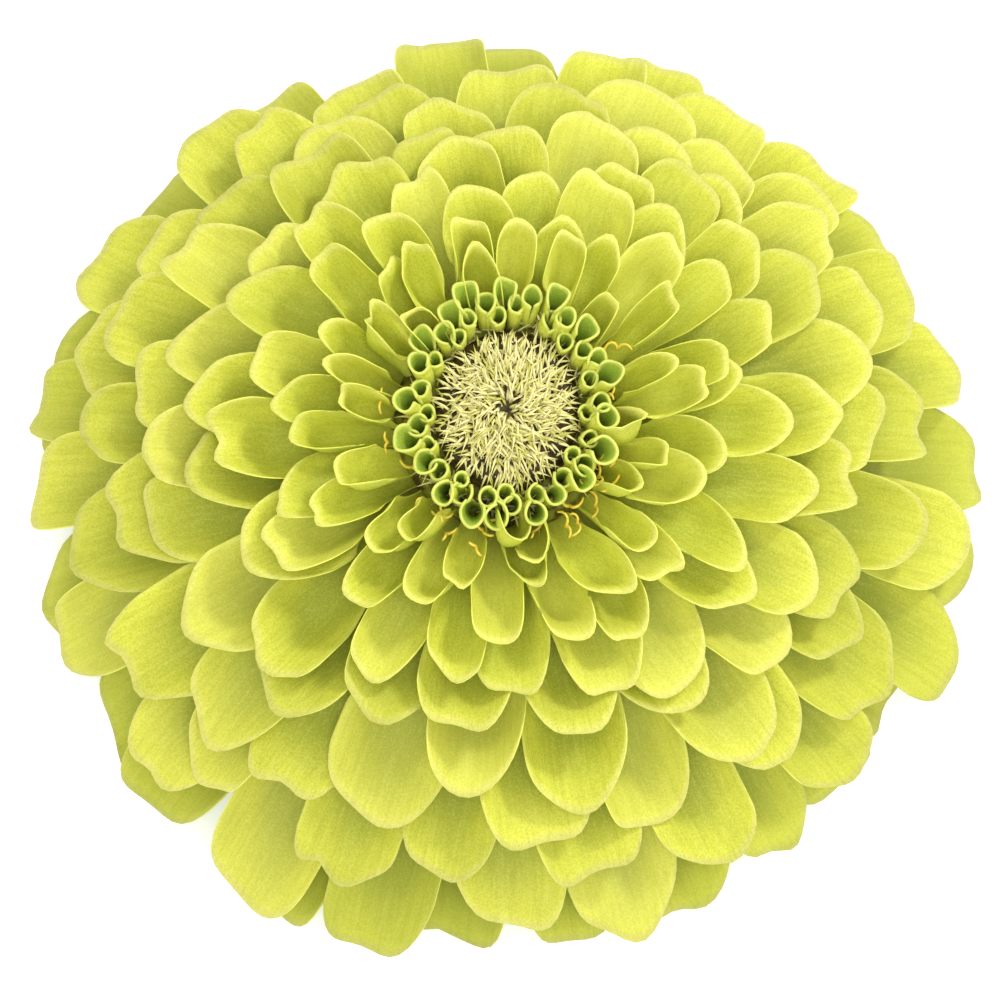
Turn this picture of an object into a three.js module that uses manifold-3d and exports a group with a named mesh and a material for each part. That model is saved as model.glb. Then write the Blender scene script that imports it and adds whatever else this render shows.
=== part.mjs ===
// A fully double zinnia bloom, lime green, picked with a short stub of its stem and lying face up.
// Millimetres, +Z up. The origin is on the surface that the bloom rests on, under the middle of its head.
//
// From the surface upwards: the cut stem, the involucre of overlapping bracts, the core that carries
// the ray petals, the ring of rolled young florets, and the bristly chaff in the middle.

import * as THREE from "three";
import Module from "manifold-3d";
import { mergeVertices } from "three/addons/utils/BufferGeometryUtils.js";

// Driving dimensions
const BLOOM_RADIUS = 55.6; // to the tips of the widest petals
const EYE_Z = 40.5; // the level at which the eye of the flower closes
const CROWN_DROP = 36.5; // from that level down to the tips at the bloom's widest
const CROWN_POWER = 2.8; // how flat the crown is near the eye and how steep at its rim
const STEM_TOP_Z = 4.5; // length of the stem that is left under the head
const STEM_RADIUS = 2.9;
const STEM_SHOULDER = 4.2; // the stem swells to this radius under the head
const CORE_FOOT_Z = 15.5; // where the involucre ends and the petal-bearing core begins
const CORE_TOP_Z = 33.5;
const CORE_FOOT_RADIUS = 10.4;
const CORE_TOP_RADIUS = 12;
const CORE_SIDES = 18;
const NEST_FLARE = 3; // how far the room for the rolled florets widens up to the eye
const PLATE_TOP_Z = 35; // the green floor that the rolled florets stand on

// Ray petals, from the innermost, which is number 0, to the lowest. Angles are in degrees.
const RAY_COUNT = 184;
const UNDER_SHARE = 0.17; // the share of the petals that hang below the rim
const UNDER_TUCK = 2.4; // how far the last of those draws in from the rim
const UNDER_DROP = 11; // and how far it hangs below it
const ROOT_DEPTH = 2.4; // how deep a petal is rooted in the core
const INNER_TIP_RADIUS = 17.3;
// The outline isn't quite round. Each row swells it in so many places, by this share, from this angle on.
const SWELLS = [
  [2, 0.01, 50],
  [3, 0.016, 4],
  [4, 0.007, 59],
];
const INNERMOST_RAY = { rise: 26, fall: 30, width: 5.4, cup: 0.3, twist: 9, thickness: 0.75 };
const LOWEST_RAY = { rise: 12, fall: -60, width: 12.6, cup: 0.13, twist: 6, thickness: 0.9 };

// Rolled florets, from the ones beside the chaff to the ones beside the petals
const QUILL_COUNT = 50;
const QUILL_WALL = 0.45;
const QUILL_RING = [8.3, 13.8]; // the room that their mouths share
const INNERMOST_QUILL = { foot: 9.1, mouthAt: 9.3, length: 4.1, mouth: 0.78 };
const OUTERMOST_QUILL = { foot: 10.6, mouthAt: 12.8, length: 6.6, mouth: 1.32 };

// The eye is a little oval: the rolled florets and the chaff are stretched by these along X and Y.
const EYE_OVAL = [0.95, 1.1, 1];

// Chaff
const CHAFF_COUNT = 120;
const CHAFF_RADIUS = 8.5;
const MOUND_HEIGHT = 3.2; // of the mound under the bristles
const BRISTLE_LENGTH = 2.7;
const BRISTLE_RADIUS = 0.42;

// Bracts, from the ones at the stem to the ones under the petals. Foot and length are shares of the bulb.
const BRACT_COUNT = 30;
const BRACT_THICKNESS = 0.9;
const LOWEST_BRACT = { foot: -0.12, width: 3.6, length: 0.38 };
const HIGHEST_BRACT = { foot: 0.42, width: 6.2, length: 0.5 };

const GOLDEN_ANGLE = Math.PI * (3 - Math.sqrt(5));
const UP = new THREE.Vector3(0, 0, 1);

const wasm = await Module();
wasm.setup();

// Small helpers

const mix = (a, b, t) => a + (b - a) * t;
const radians = (degrees) => (degrees * Math.PI) / 180;
const ray = (angle, length) =>
  new THREE.Vector3(Math.cos(angle) * length, 0, Math.sin(angle) * length);

function smooth(low, high, x) {
  const t = Math.min(1, Math.max(0, (x - low) / (high - low)));
  return t * t * (3 - 2 * t);
}

// The values that lie between those of two alike pieces
function between(first, last, t) {
  return Object.fromEntries(Object.keys(first).map((key) => [key, mix(first[key], last[key], t)]));
}

// A number from -1 to 1 that depends only on which piece asks and what for, so each build is alike.
function draw(piece, purpose) {
  const x = Math.sin(piece * 12.9898 + purpose * 78.233) * 43758.5453;
  return 2 * (x - Math.floor(x)) - 1;
}

// The height of the crown's surface at a distance from the axis.
const crownZ = (radius) => EYE_Z - CROWN_DROP * (radius / BLOOM_RADIUS) ** CROWN_POWER;

function solidOf(geometry) {
  const bare = geometry.clone();
  bare.deleteAttribute("normal");
  bare.deleteAttribute("uv");
  const merged = mergeVertices(bare, 1e-4);
  return new wasm.Manifold(
    new wasm.Mesh({
      numProp: 3,
      vertProperties: merged.attributes.position.array,
      triVerts: new Uint32Array(merged.index.array),
    }),
  );
}

function geometryOf(solid) {
  const mesh = solid.getMesh();
  return new THREE.BufferGeometry()
    .setAttribute("position", new THREE.BufferAttribute(mesh.vertProperties, 3))
    .setIndex(new THREE.BufferAttribute(mesh.triVerts, 1));
}

// A closed skin along a blade: a ring of corners at each station, and a point at each end. Every
// second side is split along its other diagonal, so that both faces of a thin blade bend alike.
function skin(sides, stations, place) {
  const inner = stations.slice(1, -1);
  const points = [place(0, stations[0])];
  for (const along of inner) {
    for (let side = 0; side < sides; side++) {
      points.push(place(-Math.PI / 2 - (side / sides) * 2 * Math.PI, along));
    }
  }
  points.push(place(0, stations.at(-1)));

  const end = points.length - 1;
  const corner = (ring, side) => 1 + ring * sides + (side % sides);
  const index = [];
  for (let side = 0; side < sides; side++) {
    index.push(0, corner(0, side), corner(0, side + 1));
    for (let ring = 0; ring < inner.length - 1; ring++) {
      const a = corner(ring, side);
      const b = corner(ring, side + 1);
      const c = corner(ring + 1, side + 1);
      const d = corner(ring + 1, side);
      index.push(...(side % 2 ? [a, c, b, a, d, c] : [a, d, b, b, d, c]));
    }
    index.push(end, corner(inner.length - 1, side + 1), corner(inner.length - 1, side));
  }
  return solidOf(new THREE.BufferGeometry().setFromPoints(points).setIndex(index));
}

// The place of a piece that stands at a radius and height, leaning away from the axis.
function standing(azimuth, radius, z, lean) {
  return new THREE.Matrix4()
    .makeRotationZ(azimuth)
    .multiply(new THREE.Matrix4().makeTranslation(radius, 0, z))
    .multiply(new THREE.Matrix4().makeRotationY(lean));
}

// A turned solid. The profile lists radius and height, from the axis at the foot to the axis at the top.
function turned(profile, sides) {
  const points = profile.map(([radius, z]) => new THREE.Vector2(radius, z));
  return solidOf(new THREE.LatheGeometry(points, sides).rotateX(Math.PI / 2));
}

// Stem: a short stub that swells under the head, with the shallow pith hollow of its cut end

function stem() {
  const rind = 1.1;
  const pithDepth = 0.8;
  const sides = 14;
  return turned(
    [
      [0, pithDepth],
      [STEM_RADIUS - rind, 0],
      [STEM_RADIUS, 0],
      [STEM_RADIUS * 1.03, STEM_TOP_Z * 0.5],
      [STEM_SHOULDER, STEM_TOP_Z],
      [0, STEM_TOP_Z],
    ],
    sides,
  );
}

// Involucre: a bulb of overlapping blunt bracts

// The bulb's outline, by the share of its height
const bulbRadius = (share) => mix(STEM_SHOULDER, CORE_FOOT_RADIUS, Math.sin((share * Math.PI) / 2) ** 0.8);
const bulbZ = (share) => mix(STEM_TOP_Z, CORE_FOOT_Z, share);

// How wide a bract is at its five stations, as a share of its widest
const BRACT_OUTLINE = [0, 0.6, 0.95, 0.8, 0];

// Each bract lies on the bulb from its foot up, and its blunt tip stands a little off it.
function bract(number) {
  const plan = between(LOWEST_BRACT, HIGHEST_BRACT, (number + 0.5) / BRACT_COUNT);
  const last = BRACT_OUTLINE.length - 1;
  const buried = -0.5;
  const proudTip = 1;
  const wrap = 0.05; // how much its sides hug the bulb
  return skin(4, [...BRACT_OUTLINE.keys()], (angle, station) => {
    const along = station / last;
    const share = Math.min(0.97, Math.max(0.03, plan.foot + plan.length * along));
    const proud = mix(buried, proudTip, along);
    const x = (-Math.cos(angle) * plan.width * BRACT_OUTLINE[station]) / 2;
    const rise = (Math.sin(angle) * BRACT_THICKNESS * BRACT_OUTLINE[station]) / 2;
    const radius = bulbRadius(share) + proud + rise - wrap * x * x;
    return new THREE.Vector3(radius, x, bulbZ(share)).applyAxisAngle(UP, number * GOLDEN_ANGLE);
  });
}

function involucre() {
  const rings = [0.03, 0.12, 0.3, 0.55, 0.8];
  const bulb = turned(
    [
      [0, STEM_TOP_Z],
      [STEM_SHOULDER, STEM_TOP_Z],
      ...rings.map((share) => [bulbRadius(share), bulbZ(share)]),
      [CORE_FOOT_RADIUS, CORE_FOOT_Z],
      [0, CORE_FOOT_Z],
    ],
    CORE_SIDES,
  );
  const bracts = Array.from({ length: BRACT_COUNT }, (_, number) => bract(number));
  return wasm.Manifold.union([bulb, ...bracts]);
}

// Ray petals: strap-footed blades that open to broad, blunt, rounded ends

// Half the width of a petal along its length, as a share of the widest. Young claws are broad straps.
function petalOutline(along, age) {
  const foot = mix(0.7, 0.26, smooth(0, 0.5, age));
  const claw = foot + (1 - foot) * smooth(0.12, 0.84, along);
  const end = Math.sqrt(Math.max(0, 1 - Math.max(0, (along - 0.78) / 0.22) ** 2.4));
  return claw * end;
}

// The stations are closer together near the tip, where the outline turns.
const PETAL_STATIONS = [0, 0.36, 0.6, 0.8, 0.94, 1];

// Where the petal with this number stands. Number 0 is the innermost and the last is the lowest.
function petalPlan(number) {
  const t = number / (RAY_COUNT - 1);
  const rim = 1 - UNDER_SHARE;
  const spread = Math.min(1, t / rim);
  const under = Math.max(0, (t - rim) / UNDER_SHARE);
  const bend = between(INNERMOST_RAY, LOWEST_RAY, t ** 0.8);
  const blade = between(INNERMOST_RAY, LOWEST_RAY, smooth(0, 0.6, t));
  const azimuth = number * GOLDEN_ANGLE + radians(mix(7, 3, t)) * draw(number, 1);
  const stray = mix(2, 0.9, smooth(0.6, 1, spread));
  const tipRadius = Math.min(
    BLOOM_RADIUS,
    mix(INNER_TIP_RADIUS, BLOOM_RADIUS, spread) - UNDER_TUCK * under + stray * draw(number, 2),
  );
  const swollen = SWELLS.map(([places, share, from]) => share * Math.cos(places * (azimuth - radians(from))));
  return {
    age: t,
    azimuth,
    rootZ: mix(CORE_TOP_Z - 4, CORE_FOOT_Z + 1.5, t),
    rootRadius: mix(CORE_TOP_RADIUS, CORE_FOOT_RADIUS, t) - ROOT_DEPTH,
    tipRadius: tipRadius * swollen.reduce((sum, swell) => sum + swell, 1),
    tipZ: Math.max(0, crownZ(tipRadius) + 0.5 * draw(number, 3) * (1 - under) - UNDER_DROP * under),
    rise: radians(bend.rise),
    fall: radians(bend.fall),
    width: blade.width * (1 + 0.14 * draw(number, 4)),
    cup: blade.cup,
    twist: radians(bend.twist) * draw(number, 5),
    thickness: blade.thickness,
  };
}

// The blade follows a spine that leaves the core rising and comes to its tip falling.
function petal(plan) {
  const root = new THREE.Vector3(plan.rootRadius, 0, plan.rootZ);
  const tip = new THREE.Vector3(plan.tipRadius, 0, plan.tipZ);
  const handle = 0.36 * root.distanceTo(tip);
  const spine = new THREE.CubicBezierCurve3(
    root,
    root.clone().add(ray(plan.rise, handle)),
    tip.clone().sub(ray(plan.fall, handle)),
    tip,
  );
  return skin(4, PETAL_STATIONS, (angle, along) => {
    const tangent = spine.getTangent(along);
    const turn = plan.twist * along;
    const up = new THREE.Vector3(-tangent.z, 0, tangent.x).applyAxisAngle(tangent, turn);
    const across = new THREE.Vector3(0, 1, 0).applyAxisAngle(tangent, turn);
    const half = (plan.width / 2) * petalOutline(along, plan.age);
    const x = Math.cos(angle) * half;
    const trough = plan.cup * (4 * along * (1 - along) + 0.35 * along);
    const lift = (2 * trough * x * x) / plan.width;
    const skinHeight = Math.sin(angle) * (plan.thickness / 2) * Math.min(1, half);
    const point = spine
      .getPoint(along)
      .addScaledVector(across, x)
      .addScaledVector(up, lift + skinHeight)
      .applyAxisAngle(UP, plan.azimuth);
    point.z = Math.max(0, point.z);
    return point;
  });
}

function rayPetals() {
  const core = turned(
    [
      [0, CORE_FOOT_Z],
      [CORE_FOOT_RADIUS, CORE_FOOT_Z],
      [CORE_TOP_RADIUS, mix(CORE_FOOT_Z, CORE_TOP_Z, 0.5)],
      [CORE_TOP_RADIUS, CORE_TOP_Z],
      [0, CORE_TOP_Z],
    ],
    CORE_SIDES,
  );
  // The flaring room over the core that the rolled florets stand in
  const nest = turned(
    [
      [0, CORE_TOP_Z],
      [CORE_TOP_RADIUS + 0.3, CORE_TOP_Z],
      [CORE_TOP_RADIUS + NEST_FLARE, EYE_Z + 1],
      [0, EYE_Z + 1],
    ],
    CORE_SIDES,
  );
  const petals = Array.from({ length: RAY_COUNT }, (_, number) => petal(petalPlan(number)));
  return wasm.Manifold.union([core, ...petals]).subtract(nest.scale(EYE_OVAL.map((s) => Math.max(1, s))));
}

// Quilled florets: young petals still rolled in tubes, in a leaning crowd round the chaff

function quillSize(number) {
  const size = between(INNERMOST_QUILL, OUTERMOST_QUILL, (number + 0.5) / QUILL_COUNT);
  size.mouth += 0.12 * draw(number, 14);
  size.length += 0.5 * draw(number, 13);
  return size;
}

// The mouths start out on a spiral and press one another apart until they hardly overlap.
function quillMouths() {
  const sizes = Array.from({ length: QUILL_COUNT }, (_, number) => quillSize(number));
  const mouths = sizes.map((size, number) => {
    const azimuth = number * GOLDEN_ANGLE + radians(4) * draw(number, 11);
    return new THREE.Vector2(Math.cos(azimuth), Math.sin(azimuth)).multiplyScalar(size.mouthAt);
  });
  for (let round = 0; round < 120; round++) {
    for (let i = 0; i < QUILL_COUNT; i++) {
      for (let j = 0; j < i; j++) {
        const apart = mouths[i].clone().sub(mouths[j]);
        const short = sizes[i].mouth + sizes[j].mouth - apart.length();
        if (short > 0) {
          const push = apart.setLength(short * 0.3);
          mouths[i].add(push);
          mouths[j].sub(push);
        }
      }
      const room = sizes[i].mouth;
      mouths[i].clampLength(QUILL_RING[0] + room, QUILL_RING[1] - room);
    }
  }
  return mouths;
}

function quill(number, at) {
  const { foot, length, mouth } = quillSize(number);
  const rootRadius = Math.min(foot, at.length() - 0.1);
  const lean = Math.asin((at.length() - rootRadius) / length);
  const sunk = 1;
  const tube = turned(
    [
      [0, 0],
      [mouth * 0.72, 0],
      [mouth, length],
      [mouth - QUILL_WALL, length],
      [0, length * 0.45],
    ],
    6,
  );
  return tube.transform(standing(at.angle(), rootRadius, PLATE_TOP_Z - sunk, lean).elements);
}

function quilledFlorets() {
  const plate = turned(
    [
      [0, CORE_TOP_Z],
      [CORE_TOP_RADIUS, CORE_TOP_Z],
      [CORE_TOP_RADIUS, PLATE_TOP_Z],
      [0, PLATE_TOP_Z],
    ],
    CORE_SIDES,
  );
  const quills = quillMouths().map((at, number) => quill(number, at));
  return wasm.Manifold.union([plate, ...quills]).scale(EYE_OVAL);
}

// Chaff: a low mound bristling with pointed scales that lean away from the eye

// The mound's height, by the share of its radius
const moundZ = (share) => PLATE_TOP_Z + MOUND_HEIGHT * Math.sqrt(1 - 0.85 * share ** 2);

function bristle(number) {
  const share = Math.sqrt((number + 0.5) / CHAFF_COUNT);
  const lean = radians(mix(-12, 34, share) + 12 * draw(number, 21));
  const length = BRISTLE_LENGTH + 0.5 * draw(number, 22);
  const sunk = 0.5;
  const edge = 0.9; // the bare edge of the mound
  const point = new THREE.ConeGeometry(BRISTLE_RADIUS, length, 3, 1)
    .rotateX(Math.PI / 2)
    .translate(0, 0, length / 2 - sunk);
  const radius = share * (CHAFF_RADIUS - edge);
  return solidOf(point.applyMatrix4(standing(number * GOLDEN_ANGLE, radius, moundZ(share), lean)));
}

function discChaff() {
  const mound = turned(
    [
      [0, PLATE_TOP_Z],
      [CHAFF_RADIUS, PLATE_TOP_Z],
      ...[1, 0.8, 0.5].map((share) => [CHAFF_RADIUS * share, moundZ(share)]),
      [0, moundZ(0)],
    ],
    16,
  );
  const bristles = Array.from({ length: CHAFF_COUNT }, (_, number) => bristle(number));
  return wasm.Manifold.union([mound, ...bristles]).scale(EYE_OVAL);
}

// The bloom

const bloom = new THREE.Group();

function add(name, solid, colour, roughness) {
  const material = new THREE.MeshStandardMaterial({ color: colour, roughness, metalness: 0 });
  const mesh = new THREE.Mesh(geometryOf(solid), material);
  mesh.name = name;
  bloom.add(mesh);
}

add("stem", stem(), 0x86a03f, 0.7);
add("involucre", involucre(), 0x7d8f3c, 0.65);
add("ray_petals", rayPetals(), 0xd6dc50, 0.6);
add("quilled_florets", quilledFlorets(), 0xb9c648, 0.6);
add("disc_chaff", discChaff(), 0xe9dfa8, 0.8);

export default bloom;
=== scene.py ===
# %% [markdown]
# # Dressing a double zinnia
# A fully double zinnia is a crowd of florets on one head. The outer ones are broad flat petals, the
# ones nearer the eye are narrow and channelled, and the youngest are still rolled in tubes. In the
# middle stand the dry bristles of the chaff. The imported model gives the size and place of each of
# these. This lesson puts finer pieces in the same places and gives them their colours.
#
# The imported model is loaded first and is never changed. Each piece below says which part of it it
# stands for, so the two always fit the same things.

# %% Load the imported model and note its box
import math

import bmesh
import bpy
from mathutils import Matrix, Vector
from mathutils.bvhtree import BVHTree


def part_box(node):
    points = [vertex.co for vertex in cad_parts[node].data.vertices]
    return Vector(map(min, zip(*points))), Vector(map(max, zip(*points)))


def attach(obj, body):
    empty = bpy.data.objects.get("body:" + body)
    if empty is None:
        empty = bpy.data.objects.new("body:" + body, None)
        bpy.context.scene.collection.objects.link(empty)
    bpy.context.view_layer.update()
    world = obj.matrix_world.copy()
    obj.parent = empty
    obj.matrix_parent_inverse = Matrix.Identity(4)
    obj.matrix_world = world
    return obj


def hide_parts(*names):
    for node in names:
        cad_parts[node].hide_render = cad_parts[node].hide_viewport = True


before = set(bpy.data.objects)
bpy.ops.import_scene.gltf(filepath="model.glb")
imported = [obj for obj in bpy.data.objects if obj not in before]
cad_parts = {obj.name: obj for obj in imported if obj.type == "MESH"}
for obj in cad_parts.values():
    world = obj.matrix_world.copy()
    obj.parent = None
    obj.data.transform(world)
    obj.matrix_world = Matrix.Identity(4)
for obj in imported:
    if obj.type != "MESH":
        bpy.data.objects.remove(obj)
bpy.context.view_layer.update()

# %% [markdown]
# Flowers are small, so the shapes below are worked out in millimetres, and each finished piece is
# brought down to metres in one step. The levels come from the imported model: where the stem ends,
# where the bracts end, and the floor that the rolled florets stand on. They could be typed in again,
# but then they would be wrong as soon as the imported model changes.

# %% Levels and radii, in millimetres
TO_METRES = 0.001
BLOOM_RADIUS = 55.6
EYE_OVAL = (0.95, 1.1, 1)
EYE_Z = 40.5
CROWN_DROP = 36.5
CROWN_POWER = 2.8
CORE_FOOT_RADIUS = 10.4
CORE_TOP_RADIUS = 12
CHAFF_RADIUS = 8.5
STEM_RADIUS = 2.9
STEM_SHOULDER = 4.2
LOWEST_PETAL_Z = 0.35
STEM_TOP_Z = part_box("stem")[1].z / TO_METRES
CORE_FOOT_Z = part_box("involucre")[1].z / TO_METRES
CORE_TOP_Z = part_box("quilled_florets")[0].z / TO_METRES
PLATE_TOP_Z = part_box("disc_chaff")[0].z / TO_METRES
GOLDEN_ANGLE = math.pi * (3 - math.sqrt(5))
UP = Vector((0, 0, 1))
print("levels:", [round(z, 2) for z in (STEM_TOP_Z, CORE_FOOT_Z, CORE_TOP_Z, PLATE_TOP_Z)])


# %% [markdown]
# Nothing on a flower is quite alike, and yet each run must give the same flower. `draw` turns the
# number of a piece and a purpose into a value from -1 to 1 that looks random and never changes.
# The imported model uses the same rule, so each fine petal lies where its plain one does.

# %% Helpers for numbers
def mix(a, b, t):
    return a + (b - a) * t


def smooth(low, high, x):
    t = min(1.0, max(0.0, (x - low) / (high - low)))
    return t * t * (3 - 2 * t)


def draw(piece, purpose):
    x = math.sin(piece * 12.9898 + purpose * 78.233) * 43758.5453
    return 2 * (x - math.floor(x)) - 1


def between(first, last, t):
    return {key: mix(first[key], last[key], t) for key in first}


def crown_z(radius):
    return EYE_Z - CROWN_DROP * (radius / BLOOM_RADIUS) ** CROWN_POWER


# %% [markdown]
# A camera comes first, so that every later step can be looked at. The photograph looks down on the
# bloom at about 74 degrees, through a long lens that hardly makes the near petals larger, and it is
# turned a little, so that the eye sits to the right of the middle.

# %% Camera
CAMERA_ELEVATION = math.radians(74)
CAMERA_ROLL = math.radians(7)
CAMERA_LENS = 220
CAMERA_DISTANCE = 0.694
LOOK_AT = Vector((0.0004, -0.0066, 0.0225))

camera_data = bpy.data.cameras.new("camera")
camera_data.lens = CAMERA_LENS
camera = bpy.data.objects.new("camera", camera_data)
bpy.context.collection.objects.link(camera)
back = Vector((0, -math.cos(CAMERA_ELEVATION), math.sin(CAMERA_ELEVATION)))
camera.location = LOOK_AT + back * CAMERA_DISTANCE
tilt = Matrix.Rotation(math.radians(90) - CAMERA_ELEVATION, 3, "X")
camera.rotation_euler = (tilt @ Matrix.Rotation(CAMERA_ROLL, 3, "Z")).to_euler()
bpy.context.scene.camera = camera
print("camera at", [round(c, 3) for c in camera.location])


# %% [markdown]
# Every finished piece goes through one door. It is brought to metres, becomes an object at the
# origin, rides on the body, takes its materials, and hides the imported node that it stands for.
# Thin pieces are modelled as one sheet. A solidify modifier makes the other side, which is easier
# than modelling both, and gives the back and the rim materials of their own.

# %% Turning a bmesh into a finished piece
def finish_piece(bm, name, node, materials, wall=0.0, far_side=False, shape=(1, 1, 1)):
    bmesh.ops.scale(bm, vec=Vector(shape) * TO_METRES, verts=bm.verts)
    mesh = bpy.data.meshes.new(name)
    bm.to_mesh(mesh)
    bm.free()
    mesh.shade_smooth()
    for material in materials:
        mesh.materials.append(material)
    piece = bpy.data.objects.new(name, mesh)
    bpy.context.collection.objects.link(piece)
    if wall:
        skin = piece.modifiers.new("thickness", "SOLIDIFY")
        skin.thickness = wall * TO_METRES
        skin.offset = -1
        if far_side:
            skin.material_offset = 1
            skin.material_offset_rim = 2
    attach(piece, "root")
    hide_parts(node)
    print(name, "has", len(mesh.polygons), "faces")


# %% [markdown]
# ## Colours and surfaces
# A petal's surface is never one colour. Its paint could be wired by hand in the shader editor, but
# then nobody could read it here. `shader` adds one node and plugs in its inputs, `fade` turns a range
# of values into a soft 0 to 1, and `tint` lays one colour over another, so that the paints below
# read like recipes.

# %% Helpers for materials
def linear(red, green, blue):
    """A colour picked on screen, 0 to 255, as the light values that shaders use."""
    def undo(c):
        c /= 255
        return c / 12.92 if c <= 0.04045 else ((c + 0.055) / 1.055) ** 2.4

    return (undo(red), undo(green), undo(blue), 1)


def shader(tree, kind, inputs=None, **settings):
    made = tree.nodes.new("ShaderNode" + kind)
    for name, value in settings.items():
        setattr(made, name, value)
    for name, value in (inputs or {}).items():
        if isinstance(value, bpy.types.NodeSocket):
            tree.links.new(value, made.inputs[name])
        else:
            made.inputs[name].default_value = value
    return made


def blend_colours(tree, factor, below, above):
    return shader(tree, "Mix", {0: factor, 6: below, 7: above}, data_type="RGBA").outputs[2]


def calculate(tree, operation, *values):
    return shader(tree, "Math", dict(enumerate(values)), operation=operation).outputs[0]


def multiply(tree, a, b):
    return calculate(tree, "MULTIPLY", a, b)


def ramp(tree, value, at_zero, at_one):
    return calculate(tree, "MULTIPLY_ADD", value, at_one - at_zero, at_zero)


def tint(tree, colour, other, where, amount):
    return blend_colours(tree, multiply(tree, where, amount), colour, other)


def fade(tree, value, low, high):
    settings = {"Value": value, "From Min": low, "From Max": high}
    return shader(tree, "MapRange", settings, interpolation_type="SMOOTHSTEP").outputs[0]


def noise(tree, place, size_mm, detail=2.0):
    settings = {"Vector": place, "Scale": 1000 / size_mm, "Detail": detail}
    return shader(tree, "TexNoise", settings).outputs["Fac"]


def new_material(name):
    material = bpy.data.materials.new(name)
    material.use_nodes = True
    tree = material.node_tree
    return material, tree, tree.nodes["Principled BSDF"]


# %% [markdown]
# What is painted on a petal follows its blade, however it is bent and wherever it points. So the
# paint uses a UV map that runs across the petal and along it, and two numbers that each petal
# carries: its age, from 0 at the eye to 1 at the rim, and its shade, from -1 to 1.

# %% Places on a blade, for its paint
def blade_map(tree):
    """The UV map's two directions, across the blade and along it."""
    uv = shader(tree, "UVMap", uv_map="blade").outputs["UV"]
    split = shader(tree, "SeparateXYZ", {0: uv})
    return split.outputs["X"], split.outputs["Y"]


def middle_distance(tree, across):
    """0 on the middle line of a blade and 1 at its sides."""
    return calculate(tree, "ABSOLUTE", ramp(tree, across, -1.0, 1.0))


def carried(tree, name):
    return shader(tree, "Attribute", attribute_name=name).outputs["Fac"]


def stretched_noise(tree, across, along, own, stretch, detail):
    """A noise of long streaks, which differs from petal to petal."""
    inputs = {0: multiply(tree, across, stretch[0]), 1: multiply(tree, along, stretch[1]), 2: own}
    place = shader(tree, "CombineXYZ", inputs).outputs[0]
    settings = {"Vector": place, "Scale": 1.0, "Detail": detail}
    return shader(tree, "TexNoise", settings).outputs["Fac"]


# %% [markdown]
# A petal is yellow-green. It turns greener towards its foot, which ends in a V: partly its own
# green and partly painted shade where the petals above cover it. The hollow of its blade is darkened
# with painted shade, and it is paler towards its tip, partly its own colour and partly a painted
# highlight. It has faint veins along it, a fine grain, cloudy green stains, and a thin pale line where
# the blade ends, partly a paler margin and partly a painted highlight. The lowest petals carry painted
# shade, and the young ones near the eye are painted lighter, partly their own yellower green and partly
# painted light against the shade there. A picture of a petal would blur close up and look the same on
# each. So the paint is a stack of tints, from the foot's green to the line at the margin.

# %% Petal paint
VEIN_STRETCH = (9, 2.2)
BRUSH_STRETCH = (28, 8)
SHADE_SPREAD = 37
CLOUD_SIZE = 5
GRAIN_SIZE = 0.22
# The last amount is the pale line at the margin, partly a painted highlight
CLOUDS, VEINS, BRUSH, GRAIN, RIM_HIGHLIGHT = 0.25, 0.16, 0.16, 0.3, 0.3
PALE_SHARE = 0.7
YOUTH = 0.85
# How strongly the lowest petals are darkened with painted shade
LOWEST_SHADE = 0.45
BUMP_DEPTH = 0.00012


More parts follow.
